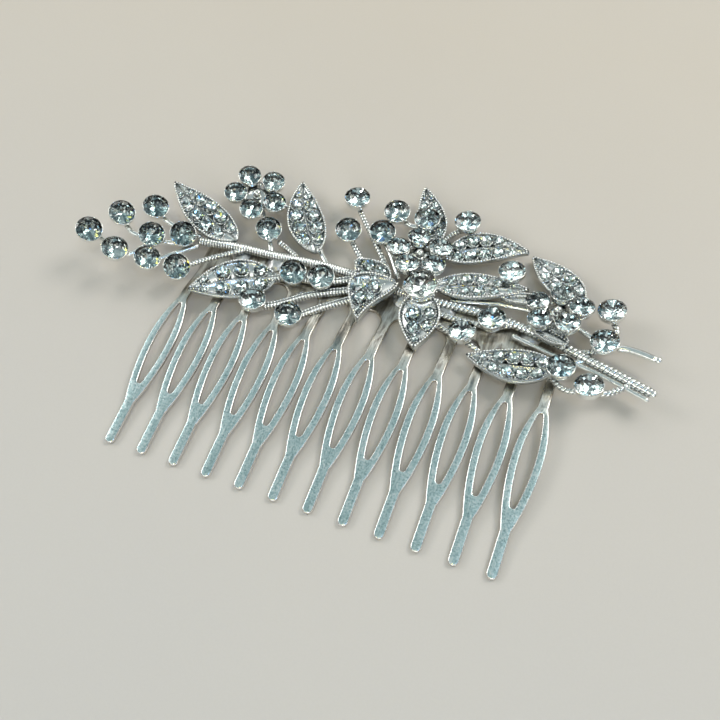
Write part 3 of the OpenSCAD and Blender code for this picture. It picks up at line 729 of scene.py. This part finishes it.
SEATS = {
    "left_spray": [(-53, -6.5, 25, -5), (-49.5, -1, 25, -5), (-44.5, 2.5, 20, 0), (-47, -8.5, 20, 5), (-42.5, -3, 20, -5),
                   (-41, -8, 20, 5), (-37.5, -0.5, 20, -12), (-35.5, -7, 20, -15)],
    "left_single": [(-23.5, 6, 12, -4), (-15.7, -1, 12, -6), (-10.5, -0.5, 8, -2), (-20, -9, 5, 10), (-13, -9.5, 8, 3)],
    "top_single": [(-10.5, 17.5, 3, 4), (-9.6, 10.6, 8, -8), (-3.5, 12, 5, -6), (-2.5, 17, 4, -5), (10.5, 18.5, -4, 5), (3.3, 17, 0, 0)],
    "right_single": [(21, 10.5, -8, 10), (38.8, 7.5, -12, 8), (39, 1.5, -12, 6), (33.5, -5, -10, 9), (38.5, -7.2, -12, 12)],
    "lower_right": [(20.4, 0.5, -6, 8), (16.4, -3.5, -8, 14)],
}
for name, seats in SEATS.items():
    cm, sm = Mesh(), Mesh()
    for s in seats:
        mt = seat(s, 2.0)
        add_cup(cm, mt, 4.8, 2.0)
        add_stone(sm, mt, 4.8, 2.0)
    cm.make(name + "_settings", [SILVER_CUP], "cup_metal", [name + "_cups"])
    sm.make(name + "_crystals", [CRYSTAL, FOIL], "crystal_stones", [name + "_stones"])

FLORETS = {"left_floret": (-28.5, 12.3, 11, 0, -10), "top_floret": (4.5, 9.1, 0, 14, 38), "right_floret": (30.3, 5, -10, 16, 20)}
for name, fl in FLORETS.items():
    base = seat(fl, 2.6)
    cm, sm = Mesh(), Mesh()
    v, f = revolve([(0, -0.5), (1.6, -0.5), (2.5, -0.42), (2.8, -0.2), (2.78, 0.05), (2.6, 0.18), (1.6, 0.2), (0, 0.2)], 40,
                   lambda a, r, z: (0.10 * math.cos(10 * a) * (r > 2), 0))
    cm.add(v, f, matrix=base)
    v, f = revolve([(0, 0.1), (0.7, 0.1), (0.74, 0.9), (0.7, 1.5), (0.55, 1.85), (0.3, 1.98), (0, 2.0)], 20)
    cm.add(v, f, matrix=base)
    for k in range(5):
        mt = base @ Matrix.Rotation(math.radians(fl[4] + 72 * k), 4, "Z") @ Matrix.Translation((3.9, 0, 0))
        add_cup(cm, mt, 4.3, 1.9)
        add_stone(sm, mt, 4.3, 1.9)
        g = base @ Matrix.Rotation(math.radians(fl[4] + 72 * k + 36), 4, "Z") @ Matrix.Translation((2.5, 0, 0.9))
        v, f = ball(0.36, 0.36, 0.36, 6, 10)
        cm.add(v, f, matrix=g)
    cm.make(name + "_settings", [SILVER_CUP], "cup_metal", [name + "_cups"])
    sm.make(name + "_crystals", [CRYSTAL, FOIL], "crystal_stones", [name + "_stones"])


# =====================================================================
# leaves
# =====================================================================
def leaf_hw(w, t):
    return w / 2 * max(0.0, math.sin(math.pi * min(1.0, max(0.0, t)) ** 0.78)) ** 0.8


def leaf_matrix(f):
    l = math.hypot(f[2] - f[0], f[3] - f[1])
    mx, my = (f[0] + f[2]) / 2, (f[1] + f[3]) / 2
    return l, (Matrix.Translation((mx, my, f[8] + lift(mx))) @ Matrix.Rotation(math.radians(f[6]), 4, "Y")
               @ Matrix.Rotation(math.radians(-f[7]), 4, "X")
               @ Matrix.Rotation(math.atan2(f[3] - f[1], f[2] - f[0]), 4, "Z") @ Matrix.Translation((-l / 2, 0, 0)))


def leaf_tray(me, f, rib=True, rim=0.42, heavy=0, top=1.0, floor=0.5):
    """The cast tray of a leaf: belly, side wall, rolled rim, floor and midrib. heavy is the side (-1 or 1) with a thick rim."""
    l, mt = leaf_matrix(f)
    n = int(l / 0.28)
    rows = []
    for i in range(n + 1):
        t = 0.008 + 0.984 * i / n
        hw = max(0.16, leaf_hw(f[4], t))
        k = min(1.0, hw / 1.3)
        bow = f[5] * 4 * t * (1 - t)
        sec = []

        def side(sg):
            rm = rim * (1.55 if heavy == sg else 1.0) * k
            return [(hw * 0.55, 0.02), (hw * 0.86, 0.10), (hw - 0.05 * k, 0.26), (hw - 0.02, 0.5 * top), (hw, top - 0.26),
                    (hw - 0.06 * k, top - 0.10), (hw - 0.30 * rm, top), (hw - 0.62 * rm, top), (hw - 0.92 * rm, top - 0.10),
                    (hw - rm, top - 0.24), (hw - rm - 0.05 * k, 0.5 * (top - 0.24 + floor)), (hw - rm - 0.22 * k, floor)]
        right = side(1)
        left = side(-1)
        rb = 0.17 * k
        mid = ([(rb * 1.5, floor), (rb, floor + 0.12), (rb * 0.5, floor + 0.22), (0.0, floor + 0.26)] if rib
               else [(rb * 1.5, floor), (rb, floor), (rb * .5, floor), (0.0, floor)])
        sec = [(0.0, 0.0)] + right + mid + [(-a, z) for a, z in reversed(mid[:-1])] + [(-a, z) for a, z in reversed(left)]
        rows.append([(l * t, bow + a, z) for a, z in sec])
    m = len(rows[0])
    verts = [p for r in rows for p in r]
    faces = []
    for i in range(n):
        for j in range(m):
            a, b = i * m + j, i * m + (j + 1) % m
            faces.append((a, b, b + m, a + m))
    for i, flip in ((0, True), (n, False)):
        c = len(verts)
        cx = sum(p[0] for p in rows[i]) / m + (-0.1 if flip else 0.1)
        cy = sum(p[1] for p in rows[i]) / m
        verts.append((cx, cy, 0.5 * top))
        for j in range(m):
            a, b = i * m + j, i * m + (j + 1) % m
            faces.append((c, b, a) if flip else (c, a, b))
    me.add(verts, [tuple(reversed(q)) for q in faces], matrix=mt)
    return l, mt


def beads_along(me, f, mt, l, inset, z, r, pitch, sides=(-1, 1), t0=0.04, t1=0.965):
    for sg in sides:
        pts = []
        for i in range(121):
            t = t0 + (t1 - t0) * i / 120
            pts.append(Vector((l * t, f[5] * 4 * t * (1 - t) + sg * max(0.05, leaf_hw(f[4], t) - inset), z)))
        line, _ = resample(pts, pitch)
        for p in line:
            v, fc = ball(r, r, r * 0.9, 4, 7)
            me.add(v, fc, matrix=mt @ Matrix.Translation(p))


def pave_places(f, l):
    out = []
    n = f[9]
    for sg in (-1, 1):
        for k in range(n):
            t = 0.17 + (0.03 if sg > 0 else 0.0) + 0.63 * k / (n - 1)
            room = leaf_hw(f[4], t) - 0.4 - 0.2
            d = min(2.6, room * 0.98, 0.63 * l / (n - 1) * 0.96)
            out.append((l * t, f[5] * 4 * t * (1 - t) + sg * (0.2 + room / 2), d))
    return out


def add_pave(me, sm, mt, places, floor=0.5):
    for i, (x, y, d) in enumerate(places):
        at = mt @ Matrix.Translation((x, y, floor)) @ Matrix.Rotation(rng.uniform(-0.10, 0.10), 4, "X") @ Matrix.Rotation(rng.uniform(-0.10, 0.10), 4, "Y")
        r = d / 2 * 1.07
        v, fc, mi = brilliant(r, 0.60 + d * 0.16, 0.44, 0.38, 0.02, rt=0.55, turn=rng.random() * 0.8, pits=0.30)
        sm.add(v, fc, mat=mi, smooth=False, matrix=at)
        # low bezel round the stone
        v, fc = revolve([(0, -0.02), (r * 0.8, -0.02), (r + 0.10, 0.0), (r + 0.09, 0.2), (r + 0.04, 0.32), (r - 0.03, 0.34), (r * 0.8, 0.16), (r * 0.4, -0.01), (0, 0.0)], 18)
        me.add(v, fc, matrix=mt @ Matrix.Translation((x, y, floor)))
        # grains raised round the stone
        a0 = rng.random() * 6.28
        for k in range(4):
            a = a0 + k * math.pi / 2 + rng.uniform(-0.2, 0.2)
            v, fc = ball(0.17, 0.17, 0.17, 4, 7)
            me.add(v, fc, matrix=mt @ Matrix.Translation((x + (r + 0.03) * math.cos(a), y + (r + 0.03) * math.sin(a), floor + 0.42)))


LEAVES = {
    "upper_left_leaf": ((-28.2, 2.5, -43.9, 9, 6.8, 0.5, 12, 0, 2.1, 5), 0),
    "tall_leaf": ((-13.5, 4.5, -22, 18.5, 7, 0.8, 8, 4, 2.1, 5), 0),
    "lower_left_leaf": ((-18.3, -2.2, -31.5, -10.8, 7.8, -0.8, 10, 0, 2.1, 4), 1),
    "crest_leaf": ((6.5, 13.5, 0.5, 24, 5.2, 0, 2, -4, 2.2, 5), 0),
    "upper_right_leaf": ((8.5, 10.6, 22.5, 16, 6.8, 1.7, -3, 5, 2.2, 5), 0),
    "middle_right_leaf": ((8.5, 4.5, 24.6, 8.3, 5.6, 0.3, -4, 6, 2.2, 5), 0),
    "far_right_leaf": ((34, 8.5, 23, 16.5, 6, 0, -8, 8, 1.3, 4), 0),
    "lower_right_leaf": ((33, -5, 18, -6.5, 6.8, 0.8, -8, 8, 2.1, 5), 1),
}
for name, (f, heavy) in LEAVES.items():
    me, sm = Mesh(), Mesh()
    l, mt = leaf_tray(me, f, heavy=heavy)
    sides = [s for s in (-1, 1) if s != heavy]
    beads_along(me, f, mt, l, 0.22, 0.96, 0.23, 0.50, sides)
    if heavy:
        beads_along(me, f, mt, l, 0.80, 0.76, 0.19, 0.48, (heavy,))
    add_pave(me, sm, mt, pave_places(f, l))
    me.make(name + "_casting", [SILVER_LEAF], "leaf_metal", [name])
    sm.make(name + "_pave", [PAVE, PAVE_FOIL], "leaf_stones", [name + "_stones"])

PETALS = {
    "flower_petal_lower": ((7.8, 1.9, 9.6, -8.5, 7.2, 0, 0, -6, 2.5, 2), [(3.9, 1.7, 1.9), (4.5, -0.9, 2.6), (6.9, -0.6, 2.2), (6.2, 1.5, 1.7), (8.8, 0, 1.4)]),
    "flower_petal_left": ((2.6, 2.6, -1.2, -6.8, 6.6, -3.1, 6, -2, 2.4, 2),
                          [(5.1, -4.5, 2.7), (3.6, -2.2, 2.4), (6.8, -2.5, 2.5), (5.3, -1.3, 1.2), (8.5, -1.5, 1.1), (2.3, -3.5, 1.2)]),
    "flower_petal_upper": ((1.2, 2.2, -5.8, 4.6, 6.4, 0.7, 6, 2, 2.1, 2), [(4.9, -0.5, 2.4), (2.6, -0.9, 1.8), (6.6, 0.3, 1.2), (4.5, 1.7, 1.8)]),
}
for name, (f, places) in PETALS.items():
    me, sm = Mesh(), Mesh()
    l, mt = leaf_tray(me, f, rib=False, rim=0.5, top=1.9, floor=1.3)
    beads_along(me, f, mt, l, 0.24, 1.84, 0.25, 0.52)
    beads_along(me, f, mt, l, 0.78, 1.44, 0.19, 0.48)
    add_pave(me, sm, mt, places, 1.3)
    me.make(name + "_casting", [SILVER_LEAF], "leaf_metal", [name])
    sm.make(name + "_pave", [PAVE, PAVE_FOIL], "leaf_stones", [name + "_stones"])

me = Mesh()
for f in ((33.5, -0.5, 26, 2, 3.2, 0, -8, 8, 2.6, 0), (26.5, 6.5, 20.5, 5, 2.4, 0, -6, 6, 3, 0)):
    l, mt = leaf_tray(me, f, rim=0.3)
    beads_along(me, f, mt, l, 0.16, 0.98, 0.17, 0.36)
    for i in range(int(l / 0.75) - 1):
        t = 0.14 + 0.72 * i / (l / 0.75 - 1)
        for sg in (-1, 1):
            w = leaf_hw(f[4], t) * 0.5
            if w > 0.35:
                v, fc = ball(0.24, 0.24, 0.2, 4, 8)
                me.add(v, fc, matrix=mt @ Matrix.Translation((l * t, sg * w, 0.64)))
me.make("small_beaded_leaves_casting", [SILVER_LEAF], "leaf_metal", ["small_beaded_leaves"])

# flower centre
fs = seat((7.2, 1.8, -2, 6), 3.5)
me, sm = Mesh(), Mesh()
add_cup(me, fs, 5.9, 2.5)
v, f = revolve([(0, -1.9), (1.4, -1.9), (1.7, -1.7), (1.68, -0.6), (1.55, 0.08), (0, 0.1)], 24)
me.add(v, f, matrix=fs)
for k in range(22):
    a = 2 * math.pi * k / 22
    v, f = ball(0.2, 0.2, 0.2, 4, 7)
    me.add(v, f, matrix=fs @ Matrix.Translation((2.9 * math.cos(a), 2.9 * math.sin(a), 1.5)))
me.make("flower_centre_setting", [SILVER_CUP], "cup_metal", ["flower_centre_cup"])
add_stone(sm, fs, 5.9, 2.5)
sm.make("flower_centre_crystal", [PALE, PALE_FOIL], "crystal_stones", ["flower_centre_stone"])


# =====================================================================
# floor, lights, surroundings
# =====================================================================
def floor_material():
    mat, nt, b = new_mat("floor_paper")
    co = obj_coord(nt)
    big = noise(nt, co, 9.0, 3.0)
    fine = noise(nt, co, 2600.0, 3.0)
    sep = nt.nodes.new("ShaderNodeSeparateXYZ")
    nt.links.new(co, sep.inputs["Vector"])
    back = remap(nt, sep.outputs["Y"], -0.06, 0.07, 0.0, 1.0)
    base = mix_rgb(nt, back, (0.620, 0.603, 0.585), (0.655, 0.600, 0.525))
    base = mix_rgb(nt, remap(nt, big, 0.35, 0.65, 0.0, 0.25), base, (0.70, 0.66, 0.60))
    base = mix_rgb(nt, remap(nt, fine, 0.3, 0.7, 0.0, 0.05), base, (0.45, 0.44, 0.42))
    nt.links.new(base, b.inputs["Base Color"])
    nt.links.new(remap(nt, fine, 0.3, 0.7, 0.55, 0.7), b.inputs["Roughness"])
    bump(nt, b, fine, 0.00002, 0.4)
    return mat


n = 40
size = 0.45
verts = [((i / n - 0.5) * 2 * size, (j / n - 0.5) * 2 * size, 0.0) for j in range(n + 1) for i in range(n + 1)]
faces = [(j * (n + 1) + i, j * (n + 1) + i + 1, (j + 1) * (n + 1) + i + 1, (j + 1) * (n + 1) + i) for j in range(n) for i in range(n)]
fm = bpy.data.meshes.new("floor")
fm.from_pydata(verts, [], faces)
fm.materials.append(floor_material())
floor = bpy.data.objects.new("floor", fm)
scene.collection.objects.link(floor)


def area(name, loc, size_x, size_y, power, colour, target=(0.0, -0.008, 0.0)):
    ld = bpy.data.lights.new(name, "AREA")
    ld.shape = "RECTANGLE"
    ld.size, ld.size_y = size_x, size_y
    ld.energy = power
    ld.color = colour
    ob = bpy.data.objects.new(name, ld)
    scene.collection.objects.link(ob)
    ob.location = loc
    ob.rotation_mode = "QUATERNION"
    ob.rotation_quaternion = (Vector(target) - Vector(loc)).to_track_quat("-Z", "Y")
    return ob


area("key", (0.36, 0.36, 0.54), 0.34, 0.24, 1.75, (1.0, 0.96, 0.90))
area("left_fill", (-0.60, 0.02, 0.40), 0.26, 0.20, 1.0, (1.0, 0.97, 0.94))
area("front_strip", (0.20, -0.60, 0.30), 0.50, 0.05, 0.5, (0.94, 0.97, 1.0))
area("spark_warm", (-0.02, -0.34, 0.46), 0.03, 0.03, 0.16, (1.0, 0.85, 0.30))
area("spark_blue", (0.22, -0.12, 0.52), 0.03, 0.03, 0.13, (0.35, 0.6, 1.0))


def build_world():
    w = bpy.data.worlds.new("studio")
    scene.world = w
    w.use_nodes = True
    nt = w.node_tree
    nt.nodes.clear()
    out = nt.nodes.new("ShaderNodeOutputWorld")
    bg = nt.nodes.new("ShaderNodeBackground")
    nt.links.new(bg.outputs["Background"], out.inputs["Surface"])
    tc = nt.nodes.new("ShaderNodeTexCoord")
    d = tc.outputs["Generated"]
    sep = nt.nodes.new("ShaderNodeSeparateXYZ")
    nt.links.new(d, sep.inputs["Vector"])
    # from the horizon (0) to straight up (1)
    col = ramp(nt, sep.outputs["Z"], [(0.0, (0.26, 0.20, 0.15)), (0.12, (0.42, 0.35, 0.28)), (0.28, (1.15, 1.12, 1.07)),
                                      (0.50, (1.65, 1.65, 1.62)), (0.70, (1.0, 1.08, 1.08)), (0.88, (0.55, 0.67, 0.69)), (1.0, (0.60, 0.72, 0.73))])
    # a patchwork of light and dark, away from what the satin fingers mirror
    cells = nt.nodes.new("ShaderNodeTexVoronoi")
    cells.feature = "F1"
    cells.inputs["Scale"].default_value = 7.5
    nt.links.new(d, cells.inputs["Vector"])
    grey = nt.nodes.new("ShaderNodeSeparateColor")
    nt.links.new(cells.outputs["Color"], grey.inputs["Color"])
    patch = ramp(nt, grey.outputs[0], [(0.0, (0.06, 0.07, 0.08)), (0.36, (0.72, 0.75, 0.76)), (0.62, (1.15, 1.15, 1.12)), (0.85, (3.6, 3.6, 3.5))], "CONSTANT")
    calm = nt.nodes.new("ShaderNodeVectorMath")
    calm.operation = "DOT_PRODUCT"
    calm.inputs[1].default_value = (-0.2256, 0.4159, 0.881)
    nt.links.new(d, calm.inputs[0])
    col = mix_rgb(nt, remap(nt, calm.outputs["Value"], math.cos(math.radians(38)), math.cos(math.radians(24)), 0.85, 0.0),
                  col, mix_rgb(nt, 1.0, col, patch, "MULTIPLY"))

    def blob(col, direction, inner, outer, value):
        v = Vector(direction).normalized()
        dp = nt.nodes.new("ShaderNodeVectorMath")
        dp.operation = "DOT_PRODUCT"
        dp.inputs[1].default_value = v
        nt.links.new(d, dp.inputs[0])
        k = remap(nt, dp.outputs["Value"], math.cos(math.radians(outer)), math.cos(math.radians(inner)), 0.0, 1.0)
        return mix_rgb(nt, k, col, value)
    # dark and bright things round the table, which the stones and the polished metal mirror
    col = blob(col, (0.9, -0.5, 0.35), 9, 13, (0.05, 0.06, 0.07))
    col = blob(col, (-0.7, -0.6, 0.30), 12, 16, (0.06, 0.07, 0.08))
    col = blob(col, (-0.9, 0.45, 0.25), 10, 13, (0.10, 0.09, 0.08))
    col = blob(col, (0.15, 1.0, 0.22), 14, 18, (0.08, 0.08, 0.09))
    col = blob(col, (0.25, -0.50, 0.83), 6, 9, (0.06, 0.07, 0.08))
    col = blob(col, (0.75, 0.15, 0.60), 8, 10, (0.12, 0.14, 0.16))
    col = blob(col, (-0.75, -0.25, 0.62), 7, 9, (2.6, 2.6, 2.5))
    col = blob(col, (0.55, 0.65, 0.50), 9, 11, (2.8, 2.75, 2.6))
    col = blob(col, (0.6, -0.35, 0.70), 5, 7, (2.4, 2.5, 2.6))
    # small coloured lamps: the fire in the stones
    col = blob(col, (0.36, -0.62, 0.70), 2.5, 3.5, (9.0, 6.6, 1.0))
    col = blob(col, (0.02, -0.30, 0.95), 2.5, 3.5, (8.0, 6.4, 1.4))
    col = blob(col, (0.12, -0.66, 0.74), 2.2, 3.2, (1.0, 3.0, 9.0))
    col = blob(col, (0.45, -0.28, 0.85), 2.2, 3.2, (1.2, 3.4, 9.0))
    col = blob(col, (0.24, -0.30, 0.92), 3.0, 4.0, (9.0, 9.0, 8.6))
    nt.links.new(col, bg.inputs["Color"])
    bg.inputs["Strength"].default_value = 0.53


build_world()
